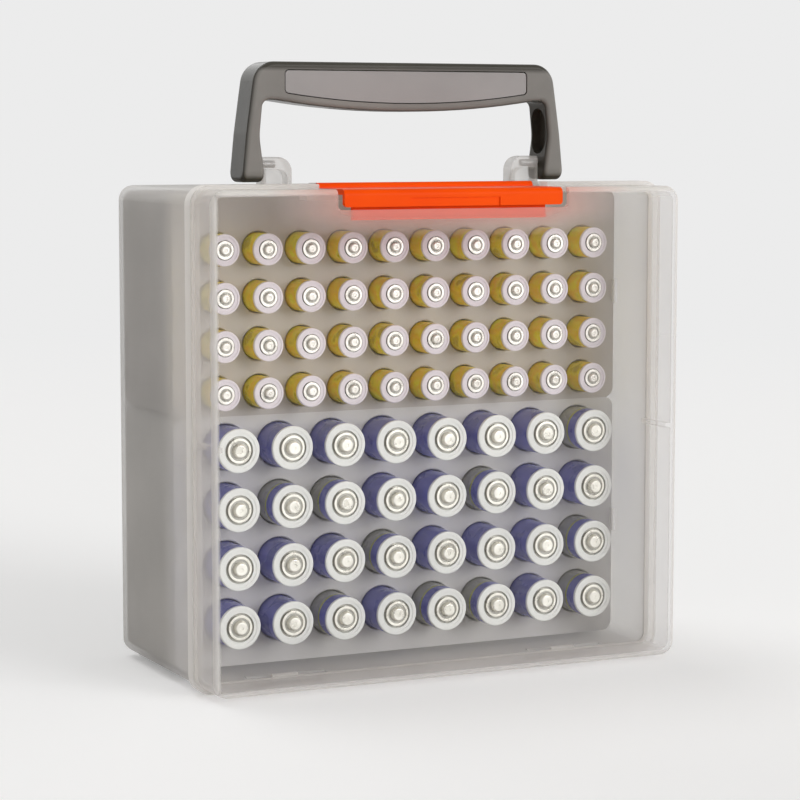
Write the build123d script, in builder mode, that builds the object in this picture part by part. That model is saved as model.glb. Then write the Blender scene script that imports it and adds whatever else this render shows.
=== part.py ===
from build123d import *
import os

# Battery storage case with a carrying handle: a translucent rear shell holding two socket
# trays full of cells, a shallow translucent lid on a bottom hinge, an orange latch on top
# and a folding grey handle.
# Frame: X to the right, front (lid) towards -Y, Z up. Origin in the middle of the base.
# A "depth" is measured back from the lid's front face, a "rise" up from the case top.

# ---------------------------------------------------------------- driving dimensions (mm)
case_width = 169.5
case_height = 160.5
case_depth = 88.4
lid_depth = 20.6                # front face of the lid to the seam
base_gap = 1.6                  # the walls stand this far above the surface, on the feet
wall = 1.8                      # wall of shell and lid
corner_round = 5.0              # corners seen from the front
front_round = 2.2               # edge round the lid's face
back_round = 3.4                # edge round the shell's back
seam_gap = 0.3                  # between the rims of lid and shell
fit_gap = 0.3                   # between pieces that rest in or swing past each other

band_proud = 1.4                # thickened rim of the lid, outside its walls
band_depth = 5.4
band_round = 0.5
tongue_length = 2.6             # rim of the shell that enters the lid
tongue_thickness = 1.2
lid_rib_height = 80.8           # stiffening ribs half way up the lid's side walls
lid_rib_thickness = 1.6
lid_rib_reach = 2.0

foot_length = 16.0
foot_width = 7.0
foot_inset_x = 14.0             # side wall to foot
foot_inset_y = 5.0              # seam or back wall to foot
foot_round = 2.0

pin_play = 0.05                 # radial running play of every pin
hinge_radius = 1.8              # barrels of the lid hinges
hinge_pin_radius = 0.8
hinge_setback = 0.75            # hinge axis behind the seam
hinge_floor_gap = 0.1           # barrels above the standing surface
hinge_spacing = 104.0           # between the middles of the two hinges
knuckle_length = 9.0
barrel_clearance = 0.35         # radial, round a turning barrel

latch_width = 79.0
latch_thickness = 1.8
latch_notch = 2.3               # free space at each end of the latch
notch_corner = 1.5
flap_height = 5.7
flap_thickness = 1.6
flap_gap = 0.9                  # below the flap
flap_inset = 0.25               # flap face behind the lid's face
flap_round = 2.0                # top front edge of the latch
flap_corner = 1.2
latch_barrel_radius = 1.75
latch_barrel_setback = 2.1      # barrel axis behind the seam
latch_barrel_drop = 0.1         # barrel axis below the case top
latch_pin_radius = 0.7
latch_ear = 2.0                 # length of the shell's ear at each end of the barrel
latch_seat_depth = 6.0          # thickened top edge of the shell that carries the latch
latch_seat_height = 4.0
catch_width = 70.0              # tongue of the latch behind the lid's wall
catch_setback = 4.0
catch_thickness = 1.4
catch_reach = 10.0              # below the case top
catch_bead_radius = 0.6
grip_recess_width = 32.6        # thumb recess at the foot of the flap
grip_recess_height = 2.8
grip_recess_depth = 0.5

handle_setback = 42.0           # middle of the handle behind the lid's face
handle_thickness = 13.5
foot_clearance = 1.6            # rise of the underside of the arms
arm_foot_width = 119.4          # outside, at the feet
arm_middle_width = 116.2
arm_middle_rise = 17.5
arm_upper_width = 112.8
arm_upper_rise = 29.5
grip_top_width = 109.4
grip_top_rise = 40.9
grip_corner = 7.5
arm_foot_inner = 103.0          # between the feet
arm_waist_inner = 107.0
arm_waist_rise = 16.5
arm_neck_inner = 104.6
arm_neck_rise = 28.5
grip_under_width = 95.0         # where the curved underside of the grip starts
grip_under_rise = 28.3
grip_middle_rise = 24.7
inner_corner = 2.5
bend_round = 20.0               # slight bends along the arms
handle_edge_round = 1.5
arm_end_flat = 3.0              # half width of the flat under each arm, between its rounded edges
arm_groove_depth = 2.4          # hollow on the inner side of each arm
arm_groove_width = 9.6
arm_groove_foot = 10.5          # rise of its lower end
pivot_swing_gap = 0.7           # folded handle above the case top
pivot_pin_radius = 1.2
pivot_pin_bury = 5.0            # length of pin in the arm, and in the lug
panel_width = 89.2
panel_top_rise = 38.0
panel_end_rise = 30.9
panel_middle_rise = 27.6
panel_corner = 1.2
panel_groove = 0.35             # open groove round the panel
panel_thickness = 1.6
panel_sink = 0.2                # panel face behind the grip face

lug_inner_width = 82.0          # between the inner ends of the two lugs
lug_thickness = 6.0
lug_over_pivot = 2.35
lug_inner_round = 4.8
lug_top_round = 1.2
lug_inner_wall = 1.4            # walls round the pocket that is open to the front
lug_outer_wall = 1.0
lug_rear_wall = 1.4
lug_pin_cover = 0.4             # between the pin hole and the pocket

tray_setback = 40.2             # socket plate behind the lid's face
tray_plate = 2.0
tray_skirt = 1.2
socket_play = 0.35              # radial
socket_wall = 1.0
socket_floor = 1.2
socket_lead_in = 0.4
stop_length = 1.6               # small stops on the side walls that keep the trays in
stop_height = 8.0
stop_reach = 1.2

# standard cell sizes and the grid of each tray
aaa = dict(radius=5.25, length=44.5, tip_depth=30.2, columns=10, rows=4,
           pitch_x=15.25, pitch_z=15.7, top_row=142.0, shift=0.7,
           button_height=1.0, nub_radius=1.3, button_radius=1.75, rim_inner=2.15, cap_radius=3.05,
           ring_hole=3.3, ring_lip=0.8)
aa = dict(radius=7.25, length=50.5, tip_depth=26.1, columns=8, rows=4,
          pitch_x=18.97, pitch_z=19.45, top_row=76.9, shift=1.6,
          button_height=1.5, nub_radius=2.0, button_radius=2.55, rim_inner=3.3, cap_radius=4.15,
          ring_hole=4.9, ring_lip=1.3)
button_round = 0.35
dimple_radius = 0.45            # in the middle of the button
dimple_depth = 0.15
disc_sink = 0.15                # disc round the button, behind the ring's face
cap_rim_height = 0.35           # stamped rim of that disc
cap_rim_round = 0.15
ring_thickness = 1.0
ring_round = 0.4
ring_step = 0.2                 # face of the ring behind its outer lip
sleeve_thickness = 0.25
base_lip = 0.6                  # bare end of the can below the sleeve

# ------------------------------------------------------------------------ derived places
front_y = -case_depth / 2
back_y = case_depth / 2
seam_y = front_y + lid_depth
lid_rim_y = seam_y - seam_gap
case_top = base_gap + case_height
case_middle = base_gap + case_height / 2
side_inner = case_width / 2 - wall
hinge_y = seam_y + hinge_setback
hinge_height = hinge_radius + hinge_floor_gap
hinge_middles = (-hinge_spacing / 2, hinge_spacing / 2)
knuckle_pitch = knuckle_length + fit_gap
hinge_length = 3 * knuckle_length + 2 * fit_gap
latch_half = latch_width / 2
latch_free_half = latch_half + fit_gap
notch_half = latch_half + latch_notch
notch_bottom = case_top - flap_height - flap_gap
latch_axis_y = seam_y + latch_barrel_setback
latch_axis_z = case_top - latch_barrel_drop
handle_y = front_y + handle_setback
handle_front_y = handle_y - handle_thickness / 2
arm_end_round = handle_thickness / 2 - arm_end_flat
pivot_rise = handle_thickness / 2 + pivot_swing_gap
pivot_z = case_top + pivot_rise
lug_rise = pivot_rise + lug_over_pivot
arm_inner_x = arm_foot_inner / 2
tray_y = front_y + tray_setback
aaa_lowest_row = aaa["top_row"] - aaa["pitch_z"] * (aaa["rows"] - 1)
aaa_tubes_bottom = aaa_lowest_row - aaa["radius"] - socket_play - socket_wall
aa_tubes_top = aa["top_row"] + aa["radius"] + socket_play + socket_wall
tray_split_height = (aaa_tubes_bottom + aa_tubes_top) / 2       # lower tray below, upper above
through =2 * case_width        # longer than anything it cuts
tiny = 0.01                     # tells two places apart
low_front = (Align.CENTER, Align.MIN, Align.CENTER)


def upright(y):
    """Plane across the case at y, seen from the front: local x is X, local y is Z."""
    return Plane.XZ.offset(-y)


def sideways(x):
    """Plane at x with local x along Y and local y along Z."""
    return Plane.YZ.offset(x)


def case_outline(inset):
    """Outline of the case walls seen from the front, drawn smaller by inset."""
    with Locations((0, case_middle)):
        RectangleRounded(case_width - 2 * inset, case_height - 2 * inset, corner_round - inset)


def rod(x, y, z, radius, length, mode=Mode.ADD):
    """Cylinder lying along X with its middle at the given point."""
    with Locations((x, y, z)):
        Cylinder(radius, length, rotation=(0, 90, 0), mode=mode)


def side_block(side, start_y, end_y, z, reach, height):
    """Block on the inner face of a side wall, rooted half way into the wall."""
    root = wall / 2
    with Locations((side * (side_inner + (root - reach) / 2), start_y, z)):
        Box(reach + root, end_y - start_y, height, align=low_front)


# ------------------------------------------------------------------------------- the lid
with BuildPart() as lid:
    with BuildSketch(upright(front_y)):
        case_outline(0)
    extrude(amount=front_y - lid_rim_y)
    fillet(lid.faces().sort_by(Axis.Y)[0].edges(), front_round)
    # thickened band round the rim, standing proud of the walls
    band_y = lid_rim_y - band_depth
    with BuildSketch(upright(band_y)):
        case_outline(-band_proud)
    extrude(amount=-band_depth)
    flat_faces = lid.faces().filter_by(Axis.Y)
    band_front = flat_faces.sort_by(lambda face: abs(face.center().Y - band_y))[0]
    fillet(band_front.outer_wire().edges(), band_round)
    fillet(lid.faces().filter_by(Axis.Y).sort_by(Axis.Y)[-1].edges(), band_round)
    # hollow, and the wider rebate at the rim that takes the shell's tongue
    with BuildSketch(upright(front_y + wall)):
        case_outline(wall)
    extrude(amount=-through, mode=Mode.SUBTRACT)
    with BuildSketch(upright(seam_y - tongue_length - fit_gap)):
        case_outline(wall - tongue_thickness - fit_gap)
    extrude(amount=-through, mode=Mode.SUBTRACT)
    # stiffening ribs half way up the side walls
    rib_y = front_y + wall / 2
    rib_end_y = seam_y - tongue_length - 2 * fit_gap
    for side in (-1, 1):
        side_block(side, rib_y, rib_end_y, lid_rib_height, lid_rib_reach, lid_rib_thickness)
    # notch in the top edge, which the latch fills
    with BuildSketch(upright(front_y)):
        with Locations((0, notch_bottom)):
            RectangleRounded(2 * notch_half, case_height, notch_corner, align=(Align.CENTER, Align.MIN))
    extrude(amount=-through, mode=Mode.SUBTRACT)
    # middle knuckle of each hinge, and room for the shell's knuckles beside it
    for middle in hinge_middles:
        for side in (-1, 1):
            rod(middle + side * knuckle_pitch, hinge_y, hinge_height,
                hinge_radius + barrel_clearance, knuckle_length + 2 * fit_gap, Mode.SUBTRACT)
        rod(middle, hinge_y, hinge_height, hinge_radius, knuckle_length)
        rod(middle, hinge_y, hinge_height, hinge_pin_radius + pin_play, hinge_length, Mode.SUBTRACT)
lid.part.label = "lid"

# ------------------------------------------------------------------- lugs for the handle
lug_outer_x = arm_inner_x - fit_gap
lug_length = lug_outer_x - lug_inner_width / 2
lug_bury = wall / 2             # how far the lug's root goes into the top wall
pocket_rise = pivot_rise - pivot_pin_radius - pin_play - lug_pin_cover
pocket_length = lug_length - lug_inner_wall - lug_outer_wall

with BuildPart() as lugs:
    with BuildSketch(upright(handle_y)) as lug_face:
        with Locations((lug_outer_x, case_top - lug_bury)):
            Rectangle(lug_length, lug_rise + lug_bury, align=(Align.MAX, Align.MIN))
        upper_inner = lug_face.vertices().group_by(Axis.Y)[-1].sort_by(Axis.X)[0]
        fillet(upper_inner, lug_inner_round)
        mirror(about=Plane.YZ)
    extrude(amount=lug_thickness / 2, both=True)
    with BuildSketch(sideways(0)):
        with Locations((handle_y, case_top + lug_rise)):
            RectangleRounded(lug_thickness, case_height, lug_top_round, align=(Align.CENTER, Align.MAX))
    extrude(amount=case_width / 2, both=True, mode=Mode.INTERSECT)
    # pocket under the thick top that holds the pin
    with BuildSketch(upright(handle_y - lug_thickness / 2)) as pocket_face:
        with Locations((lug_outer_x - lug_outer_wall, case_top)):
            Rectangle(pocket_length, pocket_rise, align=(Align.MAX, Align.MIN))
        pocket_corner = pocket_face.vertices().group_by(Axis.Y)[-1].sort_by(Axis.X)[0]
        fillet(pocket_corner, lug_inner_round - lug_inner_wall)
        mirror(about=Plane.YZ)
    extrude(amount=lug_rear_wall - lug_thickness, mode=Mode.SUBTRACT)

# ---------------------------------------------------------------------------- rear shell
shell_inner_bottom = base_gap + wall
seat_half = notch_half + wall
pin_hole_length = 2 * (latch_free_half + latch_ear)
tongue_opening = 4 * wall       # taller than the tongue that it opens

with BuildPart() as body_shell:
    with BuildSketch(upright(seam_y)):
        case_outline(0)
    extrude(amount=seam_y - back_y)
    fillet(body_shell.faces().sort_by(Axis.Y)[-1].edges(), back_round)
    with BuildSketch(upright(seam_y)):
        case_outline(wall)
    extrude(amount=seam_y - back_y + wall, mode=Mode.SUBTRACT)
    # tongue round the rim, open at the latch and at the two hinges
    with BuildSketch(upright(seam_y - tongue_length)):
        case_outline(wall - tongue_thickness)
        with Locations((0, case_middle)):
            RectangleRounded(case_width - 2 * wall, case_height - 2 * wall,
                             corner_round - wall, mode=Mode.SUBTRACT)
        with Locations((0, case_top)):
            Rectangle(2 * notch_half, tongue_opening, mode=Mode.SUBTRACT)
        with Locations((hinge_middles[0], base_gap), (hinge_middles[1], base_gap)):
            Rectangle(hinge_length + 4 * fit_gap, tongue_opening, mode=Mode.SUBTRACT)
    extrude(amount=-tongue_length)
    # thickened seat under the latch barrel, with an ear at each end
    with Locations((0, seam_y, case_top - latch_seat_height)):
        Box(2 * seat_half, latch_seat_depth, latch_seat_height - wall / 2,
            align=(Align.CENTER, Align.MIN, Align.MIN))
    rod(0, latch_axis_y, latch_axis_z, latch_barrel_radius, pin_hole_length)
    rod(0, latch_axis_y, latch_axis_z, latch_barrel_radius + barrel_clearance,
        2 * latch_free_half, Mode.SUBTRACT)
    with Locations((0, latch_axis_y, case_top - latch_thickness - fit_gap)):
        Box(2 * latch_free_half, through, case_height,
            align=(Align.CENTER, Align.MAX, Align.MIN), mode=Mode.SUBTRACT)
    rod(0, latch_axis_y, latch_axis_z, latch_pin_radius, pin_hole_length, Mode.SUBTRACT)
    # lugs with their blind pin holes
    add(lugs.part)
    for side in (-1, 1):
        rod(side * (lug_outer_x - pivot_pin_bury / 2), handle_y, pivot_z,
            pivot_pin_radius + pin_play, pivot_pin_bury + fit_gap, Mode.SUBTRACT)
    # outer knuckles of the hinges, and room for the lid's knuckle between them
    for middle in hinge_middles:
        rod(middle, hinge_y, hinge_height, hinge_radius, hinge_length)
        rod(middle, hinge_y, hinge_height, hinge_radius + barrel_clearance,
            knuckle_length + 2 * fit_gap, Mode.SUBTRACT)
        rod(middle, hinge_y, hinge_height, hinge_pin_radius, hinge_length, Mode.SUBTRACT)
    # four moulded feet under the bottom wall
    foot_x = case_width / 2 - foot_inset_x - foot_length / 2
    front_foot_y = seam_y + foot_inset_y + foot_width / 2
    back_foot_y = back_y - foot_inset_y - foot_width / 2
    with BuildSketch(Plane.XY):
        with Locations((-foot_x, front_foot_y), (foot_x, front_foot_y),
                       (-foot_x, back_foot_y), (foot_x, back_foot_y)):
            RectangleRounded(foot_length, foot_width, foot_round)
    extrude(amount=base_gap + wall / 2)
    # small stops in front of the trays
    stop_y = tray_y - fit_gap
    for side in (-1, 1):
        for height in (tray_split_height / 2, (tray_split_height + case_top) / 2):
            side_block(side, stop_y - stop_length, stop_y, height, stop_reach, stop_height)
body_shell.part.label = "body_shell"

# --------------------------------------------------------------------------------- latch
flap_y = front_y + flap_inset
flap_bottom = case_top - flap_height
catch_y = front_y + catch_setback

with BuildPart() as latch:
    with BuildSketch(sideways(0)):
        with Locations((flap_y, case_top)):
            Rectangle(latch_axis_y - flap_y, latch_thickness, align=(Align.MIN, Align.MAX))
            Rectangle(flap_thickness, flap_height, align=(Align.MIN, Align.MAX))
    extrude(amount=latch_half, both=True)
    top_front = latch.edges().filter_by(Axis.X).group_by(Axis.Z)[-1].sort_by(Axis.Y)[0]
    fillet(top_front, flap_round)
    flap_corners = latch.edges().filter_by(Axis.Y).group_by(Axis.Z)[0]
    fillet(flap_corners, flap_corner)
    rod(0, latch_axis_y, latch_axis_z, latch_barrel_radius, latch_width)
    # thumb recess at the foot of the flap
    with Locations((0, flap_y, flap_bottom)):
        Box(grip_recess_width, 2 * grip_recess_depth, 2 * grip_recess_height, mode=Mode.SUBTRACT)
    # tongue behind the lid's wall, with a rounded bead at its foot
    with Locations((0, catch_y, case_top - latch_thickness / 2)):
        Box(catch_width, catch_thickness, catch_reach - latch_thickness / 2,
            align=(Align.CENTER, Align.MIN, Align.MAX))
    rod(0, catch_y, case_top - catch_reach + catch_bead_radius, catch_bead_radius, catch_width)
    rod(0, latch_axis_y, latch_axis_z, latch_pin_radius + pin_play, through, Mode.SUBTRACT)
latch.part.label = "latch"

with BuildPart() as latch_pin:
    rod(0, latch_axis_y, latch_axis_z, latch_pin_radius, pin_hole_length)
latch_pin.part.label = "latch_pin"

with BuildPart() as lid_hinge_pin_left:
    rod(hinge_middles[0], hinge_y, hinge_height, hinge_pin_radius, hinge_length)
lid_hinge_pin_left.part.label = "lid_hinge_pin_left"

with BuildPart() as lid_hinge_pin_right:
    rod(hinge_middles[1], hinge_y, hinge_height, hinge_pin_radius, hinge_length)
lid_hinge_pin_right.part.label = "lid_hinge_pin_right"

# -------------------------------------------------------------------------------- handle
outer_points = [(arm_foot_width / 2, foot_clearance), (arm_middle_width / 2, arm_middle_rise),
                (arm_upper_width / 2, arm_upper_rise), (grip_top_width / 2, grip_top_rise)]
inner_points = [(arm_neck_inner / 2, arm_neck_rise), (arm_waist_inner / 2, arm_waist_rise),
                (arm_inner_x, foot_clearance)]


def draw_panel(sketch, grow):
    """Face of a grip panel in an upright sketch, drawn larger by grow."""
    half = panel_width / 2
    with BuildLine() as outline:
        Polyline((-half, case_top + panel_end_rise), (-half, case_top + panel_top_rise),
                 (half, case_top + panel_top_rise), (half, case_top + panel_end_rise))
        ThreePointArc((half, case_top + panel_end_rise), (0, case_top + panel_middle_rise),
                      (-half, case_top + panel_end_rise))
    make_face(outline.edges())
    fillet(sketch.vertices(), panel_corner)
    if grow:
        offset(amount=grow)


with BuildPart() as handle_frame:
    with BuildSketch(upright(handle_y)) as handle_face:
        with BuildLine():
            right_side = [(x, case_top + rise) for x, rise in outer_points]
            left_side = [(-x, z) for x, z in reversed(right_side)]
            right_inside = [(x, case_top + rise) for x, rise in inner_points]
            left_inside = [(-x, z) for x, z in reversed(right_inside)]
            arc_left = (-grip_under_width / 2, case_top + grip_under_rise)
            arc_right = (grip_under_width / 2, case_top + grip_under_rise)
            Polyline(*right_side, *left_side, *left_inside, arc_left)
            ThreePointArc(arc_left, (0, case_top + grip_middle_rise), arc_right)
            Polyline(arc_right, *right_inside, right_side[0])
        make_face()
        fillet(handle_face.vertices().group_by(Axis.Y)[-1], grip_corner)
        necks = handle_face.vertices().filter_by(lambda v: abs(v.Y - case_top - arm_neck_rise) < tiny)
        fillet(necks, inner_corner)
        bend_heights = [case_top + rise for rise in (arm_middle_rise, arm_upper_rise, arm_waist_rise)]
        bends = handle_face.vertices().filter_by(
            lambda v: min(abs(v.Y - height) for height in bend_heights) < tiny)
        fillet(bends, bend_round)
    extrude(amount=handle_thickness / 2, both=True)
    # the lower ends are rounded, so that the arms swing clear of the case top
    with BuildSketch(sideways(0)):
        with Locations((handle_y, case_top + foot_clearance)):
            RectangleRounded(handle_thickness, case_height, arm_end_round, align=(Align.CENTER, Align.MIN))
    extrude(amount=case_width / 2, both=True, mode=Mode.INTERSECT)
    # soft edges all round both faces, carried on round the ends of the arms
    rims = handle_frame.edges().filter_by(
        lambda e: abs(abs(e.center().Y - handle_y) - handle_thickness / 2) < tiny
        and e.center().Z > case_top + foot_clearance + arm_end_round + tiny)
    fillet(rims, handle_edge_round)
    # recess for the panel in each face of the grip
    recess_depth = panel_thickness + panel_sink
    for face_y, way in ((handle_front_y, -1), (handle_front_y + handle_thickness, 1)):
        with BuildSketch(upright(face_y)) as recess:
            draw_panel(recess, panel_groove)
        extrude(amount=way * recess_depth, mode=Mode.SUBTRACT)
    # hollow on the inner side of each arm
    with BuildSketch(sideways(0)):
        with Locations((handle_y, case_top + arm_groove_foot)):
            RectangleRounded(arm_groove_width, arm_neck_rise - arm_groove_foot - inner_corner,
                             arm_groove_width / 2 - tiny, align=(Align.CENTER, Align.MIN))
    extrude(amount=arm_waist_inner / 2 + arm_groove_depth, both=True, mode=Mode.SUBTRACT)
    # holes that hold the two pivot pins
    for side in (-1, 1):
        rod(side * arm_inner_x, handle_y, pivot_z, pivot_pin_radius,
            2 * pivot_pin_bury, Mode.SUBTRACT)
handle_frame.part.label = "handle_frame"

panels = []
for name, face_y, way in (("grip_panel_front", handle_front_y, 1),
                          ("grip_panel_rear", handle_front_y + handle_thickness, -1)):
    with BuildPart() as panel:
        with BuildSketch(upright(face_y + way * panel_sink)) as panel_face:
            draw_panel(panel_face, 0)
        extrude(amount=-way * panel_thickness)
    panel.part.label = name
    panels.append(panel)

handle_pins = []
for name, side in (("handle_pin_left", -1), ("handle_pin_right", 1)):
    with BuildPart() as handle_pin:
        rod(side * (arm_inner_x - fit_gap / 2), handle_y, pivot_z, pivot_pin_radius,
            2 * pivot_pin_bury + fit_gap)
    handle_pin.part.label = name
    handle_pins.append(handle_pin)


# --------------------------------------------------------------------------------- trays
def cell_places(cell, row, y):
    """Where the cells of one row lie, left to right, on the upright plane at y."""
    first_x = cell["shift"] - cell["pitch_x"] * (cell["columns"] - 1) / 2
    z = cell["top_row"] - row * cell["pitch_z"]
    return [(first_x + column * cell["pitch_x"], y, z) for column in range(cell["columns"])]


def grid_middle(cell):
    """Middle of a tray's grid of sockets, as X and Z."""
    return (cell["shift"], cell["top_row"] - cell["pitch_z"] * (cell["rows"] - 1) / 2)


def socket_grid(cell, radius):
    """One circle for each socket of the tray, in an upright sketch."""
    with Locations(grid_middle(cell)):
        with GridLocations(cell["pitch_x"], cell["pitch_z"], cell["columns"], cell["rows"]):
            Circle(radius)


def socket_tray(cell, bottom, top):
    """Tray with a front plate that has a hole for each cell, and a skirt back to the rear wall."""
    width = 2 * (side_inner - fit_gap)
    tray_corner = corner_round - wall + fit_gap
    with BuildPart() as tray:
        with BuildSketch(upright(tray_y)):
            with Locations((0, (bottom + top) / 2)):
                RectangleRounded(width, top - bottom, tray_corner)
        extrude(amount=tray_y - back_y + wall)
        with BuildSketch(upright(tray_y + tray_plate)):
            with Locations((0, (bottom + top) / 2)):
                RectangleRounded(width - 2 * tray_skirt, top - bottom - 2 * tray_skirt,
                                 tray_corner - tray_skirt)
        extrude(amount=-case_depth, mode=Mode.SUBTRACT)
        with BuildSketch(upright(tray_y)):
            socket_grid(cell, cell["radius"] + socket_play)
        extrude(amount=-tray_plate, mode=Mode.SUBTRACT)
        mouths = tray.faces().filter_by(Axis.Y).sort_by(Axis.Y)[0].inner_wires().edges()
        chamfer(mouths, socket_lead_in)
    return tray


def socket_tubes(cell):
    """The tray's closed tubes, one behind each hole of its plate."""
    plate_back_y = tray_y + tray_plate
    floor_y = front_y + cell["tip_depth"] + cell["length"]
    hole_radius = cell["radius"] + socket_play
    with BuildPart() as tubes:
        with BuildSketch(upright(plate_back_y)):
            socket_grid(cell, hole_radius + socket_wall)
        extrude(amount=plate_back_y - floor_y - socket_floor)
        with BuildSketch(upright(plate_back_y)):
            socket_grid(cell, hole_radius)
        extrude(amount=plate_back_y - floor_y, mode=Mode.SUBTRACT)
    return tubes


aa_tray = socket_tray(aa, shell_inner_bottom, tray_split_height)
aa_tray.part.label = "aa_tray"
aaa_tray = socket_tray(aaa, tray_split_height, case_top - wall - fit_gap)
aaa_tray.part.label = "aaa_tray"
aa_tray_tubes = socket_tubes(aa)
aa_tray_tubes.part.label = "aa_tray_tubes"
aaa_tray_tubes = socket_tubes(aaa)
aaa_tray_tubes.part.label = "aaa_tray_tubes"


# --------------------------------------------------------------------------------- cells
# One cell of each kind is drawn lying along Y with the tip of its button at the origin.
def cell_can(cell):
    """Steel can with the stamped disc and the button of the positive end."""
    can_y = cell["button_height"] + ring_thickness
    disc_y = cell["button_height"] + disc_sink
    rim_y = disc_y - cap_rim_height
    can_radius = cell["radius"] - sleeve_thickness
    with BuildPart() as can:
        with BuildSketch(Plane.XY):
            with BuildLine():
                Polyline((0, dimple_depth), (dimple_radius, dimple_depth),
                         (dimple_radius + dimple_depth, 0), (cell["nub_radius"], 0),
                         (cell["button_radius"], disc_y), (cell["rim_inner"], disc_y),
                         (cell["rim_inner"], rim_y), (cell["cap_radius"], rim_y),
                         (cell["cap_radius"], can_y), (can_radius, can_y),
                         (can_radius, cell["length"]), (0, cell["length"]), (0, dimple_depth))
            make_face()
        revolve(axis=Axis.Y)
        circles = can.edges().filter_by(GeomType.CIRCLE)
        nub_rim = circles.group_by(Axis.Y)[0].sort_by(SortBy.LENGTH)[-1]
        cap_rims = circles.filter_by(lambda e: abs(e.center().Y - rim_y) < tiny)
        fillet(nub_rim, button_round)
        fillet(cap_rims, cap_rim_round)
    return can


def cell_sleeve(cell):
    """Thin printed sleeve shrunk on the can."""
    start = cell["button_height"] + ring_thickness
    with BuildPart() as sleeve:
        with BuildSketch(Plane.XZ.offset(-start)):
            Circle(cell["radius"])
            Circle(cell["radius"] - sleeve_thickness, mode=Mode.SUBTRACT)
        extrude(amount=start - cell["length"] + base_lip)
    return sleeve


def cell_ring(cell):
    """Insulating ring round the positive end, with a raised outer lip."""
    start = cell["button_height"]
    with BuildPart() as ring:
        with BuildSketch(Plane.XZ.offset(-start)):
            Circle(cell["radius"])
            Circle(cell["ring_hole"], mode=Mode.SUBTRACT)
        extrude(amount=-ring_thickness)
        with BuildSketch(Plane.XZ.offset(-start)):
            Circle(cell["radius"] - cell["ring_lip"])
        extrude(amount=-ring_step, mode=Mode.SUBTRACT)
        outer_rim = ring.edges().filter_by(GeomType.CIRCLE).group_by(Axis.Y)[0].sort_by(SortBy.LENGTH)[-1]
        fillet(outer_rim, ring_round)
    return ring


cell_rows = []
for kind, cell in (("aaa", aaa), ("aa", aa)):
    for piece_name, single in (("cans", cell_can(cell)), ("sleeves", cell_sleeve(cell)),
                               ("rings", cell_ring(cell))):
        for row in range(cell["rows"]):
            with BuildPart() as cell_row:
                with Locations(cell_places(cell, row, front_y + cell["tip_depth"])):
                    add(single.part)
            cell_row.part.label = f"{kind}_{piece_name}_row_{row + 1}"
            cell_rows.append(cell_row)

# -------------------------------------------------------------------------------- export
pieces = [body_shell, lid, latch, latch_pin, lid_hinge_pin_left, lid_hinge_pin_right,
          handle_frame, *panels, *handle_pins, aaa_tray, aaa_tray_tubes, aa_tray, aa_tray_tubes, *cell_rows]

os.makedirs("parts", exist_ok=True)
for piece in pieces:
    export_step(piece.part, "parts/" + piece.part.label + ".step")
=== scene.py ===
import math

import bpy
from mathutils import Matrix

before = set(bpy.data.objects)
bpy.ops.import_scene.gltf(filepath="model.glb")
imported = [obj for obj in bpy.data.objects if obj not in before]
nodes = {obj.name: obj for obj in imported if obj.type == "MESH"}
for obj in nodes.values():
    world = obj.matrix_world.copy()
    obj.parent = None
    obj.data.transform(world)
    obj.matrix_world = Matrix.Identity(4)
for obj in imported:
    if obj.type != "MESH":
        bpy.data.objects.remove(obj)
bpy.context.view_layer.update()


# Rear shell: a deep tub of frosted polypropylene with the lugs, the latch seat, the outer
# hinge knuckles and the feet moulded on. Its milky wall turns denser where it is seen at a slant.
def new_material(name):
    """An empty node material: gives back the material, its node tree and its output."""
    material = bpy.data.materials.new(name)
    material.use_nodes = True
    tree = material.node_tree
    tree.nodes.clear()
    return material, tree, tree.nodes.new("ShaderNodeOutputMaterial")


def add(tree, kind, **settings):
    """A new node with its settings and its unlinked inputs."""
    node = tree.nodes.new(kind)
    for key, value in settings.items():
        socket = key.replace("_", " ")
        if socket in node.inputs:
            node.inputs[socket].default_value = value
        else:
            setattr(node, key, value)
    return node


def feed(tree, socket, value):
    """Gives a socket its value: a plain number, a colour or the output of a node."""
    if isinstance(value, (int, float)):
        socket.default_value = value
    elif isinstance(value, tuple):
        socket.default_value = (*value, 1)
    else:
        tree.links.new(value, socket)


def speckle(tree, scale, detail=3.0):
    """Noise that follows the piece's own place, for grain and slight variation."""
    place = add(tree, "ShaderNodeTexCoord")
    noise = add(tree, "ShaderNodeTexNoise", Scale=scale, Detail=detail)
    feed(tree, noise.inputs["Vector"], place.outputs["Object"])
    return noise.outputs["Fac"]


def spread(tree, source, low, high, start=0.3, end=0.7):
    """The source's range from start to end, mapped to the range from low to high."""
    ranged = add(tree, "ShaderNodeMapRange", From_Min=start, From_Max=end, To_Min=low, To_Max=high)
    feed(tree, ranged.inputs["Value"], source)
    return ranged.outputs["Result"]


def shade(tree, source, *colours, start=0.35, end=0.65):
    """Colours at even steps between start and end, chosen by the source."""
    ramp = add(tree, "ShaderNodeValToRGB")
    stops = ramp.color_ramp.elements
    while len(stops) < len(colours):
        stops.new(0.5)
    for index, colour in enumerate(colours):
        stops[index].position = start + (end - start) * index / (len(colours) - 1)
        stops[index].color = (*colour, 1)
    feed(tree, ramp.inputs["Fac"], source)
    return ramp.outputs["Color"]


def math_of(tree, operation, first, second=0.0):
    """One sum on two values, each an output of a node or a plain number."""
    node = add(tree, "ShaderNodeMath", operation=operation)
    feed(tree, node.inputs[0], first)
    feed(tree, node.inputs[1], second)
    return node.outputs[0]


def toned(tree, share, first, second):
    """The first colour turning into the second as the share goes from 0 to 1."""
    mixed = add(tree, "ShaderNodeMix", data_type="RGBA")
    colour_sockets = mixed.inputs[6], mixed.inputs[7]
    feed(tree, mixed.inputs[0], share)
    feed(tree, colour_sockets[0], first)
    feed(tree, colour_sockets[1], second)
    return mixed.outputs[2]


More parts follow.
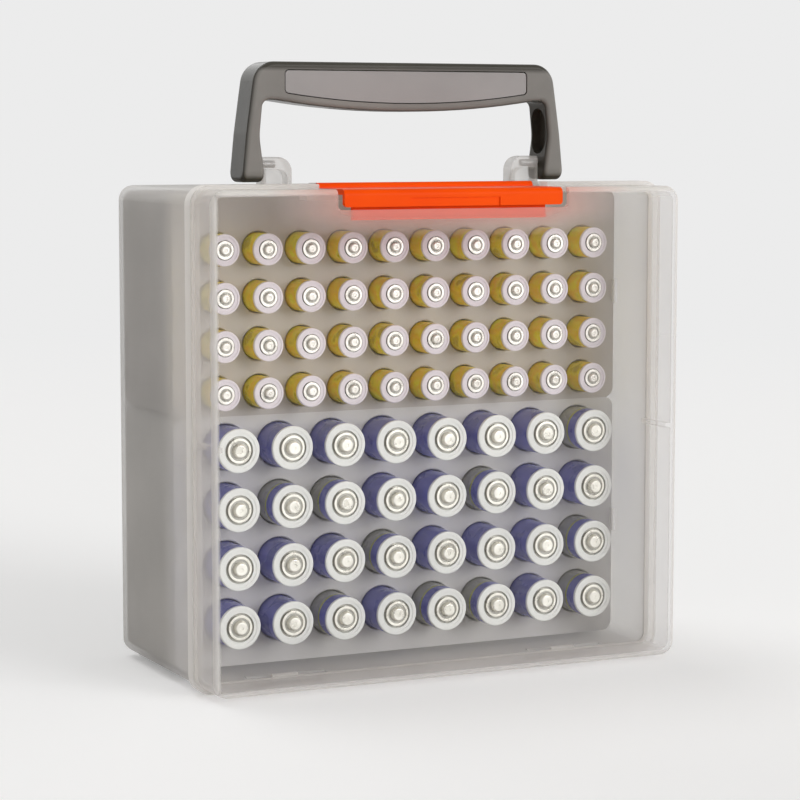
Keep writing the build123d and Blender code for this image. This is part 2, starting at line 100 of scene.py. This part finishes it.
def blended(tree, share, first, second):
    """The first shader turning into the second as the share goes from 0 to 1."""
    mixed = add(tree, "ShaderNodeMixShader")
    feed(tree, mixed.inputs["Fac"], share)
    feed(tree, mixed.inputs[1], first.outputs[0])
    feed(tree, mixed.inputs[2], second.outputs[0])
    return mixed


def grained_skin(tree, colour, roughness, grain_scale, grain_height, **settings):
    """The outer surface: its colour, its roughness and a fine grain on its normal."""
    skin = add(tree, "ShaderNodeBsdfPrincipled", **settings)
    feed(tree, skin.inputs["Base Color"], colour)
    feed(tree, skin.inputs["Roughness"], roughness)
    bump = add(tree, "ShaderNodeBump", Strength=0.3, Distance=grain_height)
    feed(tree, bump.inputs["Height"], speckle(tree, grain_scale, detail=2.0))
    feed(tree, skin.inputs["Normal"], bump.outputs["Normal"])
    return skin


def frosted_plastic(name, dark, light, face_on, slanted, glow, dense_and_lit=None, orange_glow=None):
    """Milky see-through plastic: face_on and slanted are its opacity seen straight and at a slant.
    Where the first mask nears 1 it is thick and painted paler, as painted light carried along the
    plastic, and where the second mask nears 1 it is painted in the latch's orange hue, as a painted
    glow."""
    cloud_scale, grain_scale, grain_height = 22.0, 900.0, 0.00008
    smoothest, roughest = 0.28, 0.38
    slant_start, slant_end = 0.08, 0.7
    # Painted light: the thick edges and band get a paler colour, standing in for light carried
    # along the plastic, along with more opacity.
    thick_lit_colour, thick_opacity = (0.90, 0.88, 0.85), 0.85
    # Painted light: an orange glow round the latch's tongue, with more opacity there.
    painted_glow_colour, painted_glow_opacity = (0.95, 0.50, 0.42), 0.42
    material, tree, output = new_material(name)
    cloud = speckle(tree, cloud_scale)
    colour = shade(tree, cloud, dark, light)
    slant = add(tree, "ShaderNodeLayerWeight", Blend=0.35).outputs["Facing"]
    opacity = spread(tree, slant, face_on, slanted, start=slant_start, end=slant_end)
    if dense_and_lit:
        thick = dense_and_lit(tree)
        # Painted light: a paler colour where the plastic is thick.
        colour = toned(tree, thick, colour, thick_lit_colour)
        opacity = math_of(tree, "MAXIMUM", opacity,
                          math_of(tree, "MULTIPLY", thick, thick_opacity))
    if orange_glow:
        # Painted light: the latch's orange glow, painted into the lid's colour.
        painted_glow = orange_glow(tree)
        colour = toned(tree, painted_glow, colour, painted_glow_colour)
        opacity = math_of(tree, "MAXIMUM", opacity,
                          math_of(tree, "MULTIPLY", painted_glow, painted_glow_opacity))
    skin = grained_skin(tree, colour, spread(tree, cloud, smoothest, roughest),
                        grain_scale, grain_height, IOR=1.49)
    inner = add(tree, "ShaderNodeBsdfTranslucent")
    feed(tree, inner.inputs["Color"], colour)
    clear = add(tree, "ShaderNodeBsdfTransparent")
    milky = blended(tree, glow, skin, inner)
    feed(tree, output.inputs["Surface"], blended(tree, opacity, clear, milky).outputs[0])
    return material


def finish(node_names, material):
    """Gives the CAD nodes their finished material."""
    for name in node_names:
        surface = nodes[name].data.materials
        surface.clear()
        surface.append(material)


shell_plastic = frosted_plastic("shell frosted plastic", (0.70, 0.68, 0.655), (0.78, 0.76, 0.735),
                                face_on=0.40, slanted=0.68, glow=0.5)
finish(["body_shell"], shell_plastic)


# Socket trays: injection-moulded plates of greyish plastic, with a tube for each cell.
# They stand loosely in the shell, the upper tray on the lower one.
def moulded_plastic(name, colours, roughness, grain_height, specular=0.5, cloud_scale=30.0):
    """Opaque moulded plastic with slight colour variation and fine grain."""
    grain_scale = 1500.0
    either_way = 0.05               # how far the roughness varies
    material, tree, output = new_material(name)
    cloud = speckle(tree, cloud_scale)
    skin = grained_skin(tree, shade(tree, cloud, *colours),
                        spread(tree, cloud, roughness - either_way, roughness + either_way),
                        grain_scale, grain_height, Specular_IOR_Level=specular)
    feed(tree, output.inputs["Surface"], skin.outputs[0])
    return material


# One plastic in two copies: the upper tray's is painted darker as painted shade, and the lower
# tray's is painted lighter as painted light.
upper_tray_shaded_copy = moulded_plastic(
    "upper tray plastic painted darker", [(0.44, 0.405, 0.385), (0.49, 0.455, 0.425)], 0.42, 0.00005)
lower_tray_lit_copy = moulded_plastic(
    "lower tray plastic painted lighter", [(0.57, 0.555, 0.54), (0.63, 0.61, 0.59)], 0.42, 0.00005)
finish(["aaa_tray", "aaa_tray_tubes"], upper_tray_shaded_copy)
finish(["aa_tray", "aa_tray_tubes"], lower_tray_lit_copy)


# Cells: plated steel cans with a stamped disc and button, a pale insulating ring and a glossy
# coloured sleeve shrunk over the can. Two kinds, olive yellow and indigo, in four rows each.
def place_on(tree):
    """X, Y and Z of a place on the piece, in metres."""
    place = add(tree, "ShaderNodeTexCoord")
    axes = add(tree, "ShaderNodeSeparateXYZ")
    feed(tree, axes.inputs[0], place.outputs["Object"])
    return axes.outputs["X"], axes.outputs["Y"], axes.outputs["Z"]


def plated_steel(name, dark, light, shaded_recess_y=None):
    """Plated metal with faint stains and fine scratches, painted darker behind the recess's place
    along Y as painted shade in the stamped recess.
    """
    cloud_scale, grain_scale, grain_height = 260.0, 2500.0, 0.00003
    smoothest, roughest = 0.24, 0.38
    recess_edge, recess_shade_colour = 0.00025, (0.42, 0.41, 0.37)
    material, tree, output = new_material(name)
    cloud = speckle(tree, cloud_scale)
    colour = shade(tree, cloud, dark, light)
    # Painted shade: behind the recess's place along Y, the stamped recess is painted darker.
    if shaded_recess_y:
        y = place_on(tree)[1]
        recess_shade = spread(tree, y, 0.0, 1.0, start=shaded_recess_y - recess_edge, end=shaded_recess_y)
        colour = toned(tree, recess_shade, colour, recess_shade_colour)
    skin = grained_skin(tree, colour, spread(tree, cloud, smoothest, roughest),
                        grain_scale, grain_height, Metallic=0.6)
    feed(tree, output.inputs["Surface"], skin.outputs[0])
    return material


def two_tone_film(name):
    """Indigo film; on some cells its rear part is grey behind a thin yellow stripe."""
    pitch_x, pitch_z = 0.01897, 0.01945
    grid_middle_x, top_row_z = 0.0016, 0.0769
    first_column_x = grid_middle_x - 3.5 * pitch_x
    stripe_y, grey_y = -0.0108, -0.0098
    yellow, grey = (0.50, 0.52, 0.06), (0.40, 0.40, 0.34)
    all_indigo = 0.62               # the share of cells without a grey part
    cloud_scale, grain_scale, grain_height = 120.0, 700.0, 0.00004
    smoothest, roughest = 0.22, 0.34
    material, tree, output = new_material(name)
    x, y, z = place_on(tree)

    def count(source, first, pitch):
        """Which column or row of the grid a place lies in."""
        ranged = add(tree, "ShaderNodeMapRange", From_Min=first, From_Max=first + pitch,
                     To_Min=0.5, To_Max=1.5, clamp=False)
        feed(tree, ranged.inputs["Value"], source)
        return math_of(tree, "FLOOR", ranged.outputs["Result"])

    cell = add(tree, "ShaderNodeCombineXYZ")
    feed(tree, cell.inputs["X"], count(x, first_column_x, pitch_x))
    feed(tree, cell.inputs["Y"], count(z, top_row_z, -pitch_z))
    chance = add(tree, "ShaderNodeTexWhiteNoise", noise_dimensions="3D")
    feed(tree, chance.inputs["Vector"], cell.outputs[0])
    cloud = speckle(tree, cloud_scale)
    indigo = shade(tree, cloud, (0.12, 0.13, 0.42), (0.18, 0.19, 0.56))
    along = spread(tree, y, 0.0, 1.0, start=stripe_y, end=grey_y)
    rear = shade(tree, along, yellow, grey, start=0.97, end=0.99)
    behind = math_of(tree, "GREATER_THAN", y, stripe_y)
    chosen = math_of(tree, "GREATER_THAN", chance.outputs["Value"], all_indigo)
    colour = toned(tree, math_of(tree, "MULTIPLY", behind, chosen), indigo, rear)
    skin = grained_skin(tree, colour, spread(tree, cloud, smoothest, roughest),
                        grain_scale, grain_height)
    feed(tree, output.inputs["Surface"], skin.outputs[0])
    return material


aaa_plate = plated_steel("aaa cell plating", (0.72, 0.69, 0.63), (0.90, 0.87, 0.81),
                         shaded_recess_y=-0.01285)
aa_plate = plated_steel("aa cell plating", (0.80, 0.78, 0.70), (0.95, 0.93, 0.85),
                        shaded_recess_y=-0.01645)
aaa_ring_plastic = moulded_plastic(
    "aaa ring", [(0.72, 0.66, 0.69), (0.80, 0.74, 0.77)], 0.4, 0.00003, specular=0.3)
aa_ring_plastic = moulded_plastic(
    "aa ring", [(0.80, 0.81, 0.79), (0.88, 0.89, 0.86)], 0.35, 0.00003, specular=0.3)
aaa_film = moulded_plastic(
    "aaa sleeve film",
    [(0.56, 0.46, 0.0), (0.86, 0.74, 0.0), (0.90, 0.58, 0.0), (0.86, 0.80, 0.0)],
    0.3, 0.00002, specular=0.15, cloud_scale=130.0)
aa_film = two_tone_film("aa sleeve film")
rows = range(1, 5)
finish([f"aaa_cans_row_{row}" for row in rows], aaa_plate)
finish([f"aa_cans_row_{row}" for row in rows], aa_plate)
finish([f"aaa_rings_row_{row}" for row in rows], aaa_ring_plastic)
finish([f"aa_rings_row_{row}" for row in rows], aa_ring_plastic)
finish([f"aaa_sleeves_row_{row}" for row in rows], aaa_film)
finish([f"aa_sleeves_row_{row}" for row in rows], aa_film)


# Lid: a shallow cover of clearer frosted polypropylene, with a proud band round its rim.
# It turns on two hinges at its lower edge.
case_half_width, case_half_height, case_middle_z = 0.08475, 0.08025, 0.08185
lid_face_y, lid_band_y = -0.0442, -0.0293


def lid_edges_thick_and_lit(tree):
    """Nears 1 on the rounded edges round the lid's face and on its rim band, which are thick; there
    the lid is also painted paler, as painted light carried along the plastic.
    """
    edge_start, edge_end = 0.972, 0.985           # as shares of the case's half sizes
    edge_front, edge_back = 0.0016, 0.0026        # behind the lid's face
    band_level, band_blend = 0.9, 0.0003
    x, y, z = place_on(tree)
    side = math_of(tree, "DIVIDE", math_of(tree, "ABSOLUTE", x), case_half_width)
    rise = math_of(tree, "SUBTRACT", z, case_middle_z)
    level = math_of(tree, "DIVIDE", math_of(tree, "ABSOLUTE", rise), case_half_height)
    outward = spread(tree, math_of(tree, "MAXIMUM", side, level), 0.0, 1.0,
                     start=edge_start, end=edge_end)
    forward = spread(tree, y, 1.0, 0.0, start=lid_face_y + edge_front, end=lid_face_y + edge_back)
    corner = math_of(tree, "MULTIPLY", outward, forward)
    band = spread(tree, y, 0.0, band_level, start=lid_band_y - band_blend,
                  end=lid_band_y + band_blend)
    return math_of(tree, "MAXIMUM", corner, band)


def latch_glow_painted(tree):
    """1 on the lid's wall round the latch's tongue, where orange light from the latch is painted in
    as a glow spreading in the plastic.
    """
    full_x, faded_x = 0.034, 0.066                # either side of the middle
    faded_z, full_z = 0.1455, 0.1545
    full_depth, faded_depth = 0.002, 0.003        # behind the lid's face
    x, y, z = place_on(tree)
    beside = spread(tree, math_of(tree, "ABSOLUTE", x), 1.0, 0.0, start=full_x, end=faded_x)
    below = spread(tree, z, 0.0, 1.0, start=faded_z, end=full_z)
    front = spread(tree, y, 1.0, 0.0, start=lid_face_y + full_depth, end=lid_face_y + faded_depth)
    return math_of(tree, "MULTIPLY", math_of(tree, "MULTIPLY", beside, below), front)


lid_plastic = frosted_plastic("lid frosted plastic", (0.76, 0.73, 0.71), (0.84, 0.81, 0.79),
                              face_on=0.025, slanted=0.54, glow=0.45,
                              dense_and_lit=lid_edges_thick_and_lit, orange_glow=latch_glow_painted)
finish(["lid"], lid_plastic)

# Pins: plain drawn steel rods. Those of the hinges and the latch are pressed into the shell, and
# the handle's into its arms, and what turns on them has a little play.
pin_steel = plated_steel("pin steel", (0.50, 0.50, 0.51), (0.62, 0.62, 0.63))
finish(["lid_hinge_pin_left", "lid_hinge_pin_right", "latch_pin"], pin_steel)
finish(["handle_pin_left", "handle_pin_right"], pin_steel)

# Latch: one moulding of bright orange plastic. Its flap fills the notch in the lid's top edge,
# its barrel turns up on the latch pin, and its tongue catches behind the lid's wall.
latch_plastic = moulded_plastic("latch plastic", [(0.92, 0.068, 0.0), (1.0, 0.092, 0.0)],
                                0.36, 0.00005, specular=0.05)
finish(["latch"], latch_plastic)


# Handle: a stiff bow of dark glossy plastic, with a panel let into each face of its grip. Its flat
# front and rear faces are painted a lighter satin grey as painted light, and its sides and top are
# left dark as painted shade.
# It folds back on two pins in the lugs.
def handle_with_painted_shade(name):
    """Dark plastic painted a lighter grey on the flat front and rear faces as painted light, with
    the sides and top left darker as painted shade.
    """
    middle_y, face_start, face_end = -0.0022, 0.0057, 0.0065      # faces: either side of the middle
    top_start, top_end = 0.1998, 0.2012
    cloud_scale, grain_scale, grain_height = 40.0, 1500.0, 0.00005
    dark_roughness, pale_roughness = 0.26, 0.4
    material, tree, output = new_material(name)
    cloud = speckle(tree, cloud_scale)
    x, y, z = place_on(tree)
    off_middle = math_of(tree, "ABSOLUTE", math_of(tree, "SUBTRACT", y, middle_y))
    outward = spread(tree, off_middle, 0.0, 1.0, start=face_start, end=face_end)
    below_top = spread(tree, z, 1.0, 0.0, start=top_start, end=top_end)
    painted_lit_face = math_of(tree, "MULTIPLY", outward, below_top)
    # Painted light and shade: the dark grey goes on the sides and top, the pale grey on the flat
    # front and rear faces.
    dark = shade(tree, cloud, (0.048, 0.045, 0.036), (0.064, 0.059, 0.048))
    pale = shade(tree, cloud, (0.195, 0.186, 0.172), (0.235, 0.224, 0.207))
    roughness = spread(tree, painted_lit_face, dark_roughness, pale_roughness, start=0.0, end=1.0)
    skin = grained_skin(tree, toned(tree, painted_lit_face, dark, pale), roughness,
                        grain_scale, grain_height, Specular_IOR_Level=0.12)
    feed(tree, output.inputs["Surface"], skin.outputs[0])
    return material


handle_plastic = handle_with_painted_shade("handle plastic")
panel_plastic = moulded_plastic("panel plastic", [(0.25, 0.235, 0.228), (0.30, 0.283, 0.276)],
                                0.36, 0.00006, specular=0.3)
finish(["handle_frame"], handle_plastic)
finish(["grip_panel_front", "grip_panel_rear"], panel_plastic)


# Studio: a pale floor that turns into the even pale backdrop further out, a world that is
# brighter at the front right, and three soft distant lamps.
backdrop = 0.838
floor_side, floor_tone = 60, 0.84
floor_lift = 0.24               # what the lamps leave short of the backdrop's tone
fade_start, fade_end = 0.5, 1.4
white = (1, 1, 1, 1)


def pale_ray(tree):
    """1 for rays that should see the pale backdrop: from the camera, a mirror or glass."""
    path = add(tree, "ShaderNodeLightPath").outputs
    seen_or_mirrored = math_of(tree, "MAXIMUM", path["Is Camera Ray"], path["Is Glossy Ray"])
    return math_of(tree, "MAXIMUM", seen_or_mirrored, path["Is Transmission Ray"])


bpy.ops.mesh.primitive_plane_add(size=floor_side, location=(0, 0, 0))
floor = bpy.context.object
floor.name = "floor"
floor_material, floor_tree, floor_output = new_material("floor")
floor_skin = add(floor_tree, "ShaderNodeBsdfDiffuse", Color=(floor_tone, floor_tone, floor_tone, 1))
floor_glow = add(floor_tree, "ShaderNodeEmission", Color=white)
feed(floor_tree, floor_glow.inputs["Strength"],
     math_of(floor_tree, "MULTIPLY", pale_ray(floor_tree), floor_lift))
near = add(floor_tree, "ShaderNodeAddShader")
feed(floor_tree, near.inputs[0], floor_skin.outputs[0])
feed(floor_tree, near.inputs[1], floor_glow.outputs[0])
far = add(floor_tree, "ShaderNodeEmission", Color=white, Strength=backdrop)
floor_place = add(floor_tree, "ShaderNodeTexCoord")
distance = add(floor_tree, "ShaderNodeVectorMath", operation="LENGTH")
feed(floor_tree, distance.inputs[0], floor_place.outputs["Object"])
fade = spread(floor_tree, distance.outputs["Value"], 0.0, 1.0, start=fade_start, end=fade_end)
feed(floor_tree, floor_output.inputs["Surface"], blended(floor_tree, fade, near, far).outputs[0])
floor.data.materials.append(floor_material)

world = bpy.data.worlds.new("studio")
bpy.context.scene.world = world
world.use_nodes = True
sky = world.node_tree
sky.nodes.clear()
sky_output = sky.nodes.new("ShaderNodeOutputWorld")
bright_side = (0.62, -0.77, 0.15)
dimmest, brightest = 0.03, 0.66
seen = add(sky, "ShaderNodeBackground", Color=white, Strength=backdrop)
lighting = add(sky, "ShaderNodeBackground", Color=(1.0, 0.985, 0.965, 1))
direction = add(sky, "ShaderNodeTexCoord")
toward = add(sky, "ShaderNodeVectorMath", operation="DOT_PRODUCT")
toward.inputs[1].default_value = bright_side
feed(sky, toward.inputs[0], direction.outputs["Generated"])
feed(sky, lighting.inputs["Strength"],
     spread(sky, toward.outputs["Value"], dimmest, brightest, start=-1.0, end=1.0))
feed(sky, sky_output.inputs["Surface"], blended(sky, pale_ray(sky), lighting, seen).outputs[0])

aim_point = (0, 0, 0.08)        # near the middle of the case


def sun(name, place, strength, softness):
    """A distant soft lamp at place, turned towards the case, which lights the floor evenly."""
    data = bpy.data.lights.new(name, "SUN")
    data.energy = strength
    data.angle = math.radians(softness)
    lamp = bpy.data.objects.new(name, data)
    bpy.context.collection.objects.link(lamp)
    lamp.location = place
    way = [there - here for there, here in zip(aim_point, place)]
    flat = math.hypot(way[0], way[1])
    turn = math.atan2(way[1], way[0]) - math.pi / 2
    lamp.rotation_euler = (math.atan2(flat, -way[2]), 0, turn)


sun("key", (0.5, -0.85, 0.36), 1.45, 35)
sun("overhead", (-0.22, 0.34, 1.0), 0.6, 30)
sun("rear", (-0.1, 1.0, 0.45), 0.6, 45)

# Camera: the photograph's angle, from the front left and a little above. Its place, angles and
# focal length were fitted to the cell ends and the case's corners.
camera_data = bpy.data.cameras.new("camera")
camera = bpy.data.objects.new("camera", camera_data)
bpy.context.collection.objects.link(camera)
photo_side, focal_length = 800, 2569.2          # pixels
camera_place = (-0.37723, -0.78602, 0.18152)
look_down, roll, turn_right = 6.052, -0.03, 25.701
camera_data.sensor_width = 36.0
camera_data.lens = focal_length / photo_side * camera_data.sensor_width
camera_data.clip_end = 100.0
camera.location = camera_place
camera.rotation_euler = [math.radians(angle) for angle in (90 - look_down, roll, -turn_right)]
bpy.context.scene.camera = camera
bpy.context.scene.view_settings.view_transform = "Standard"
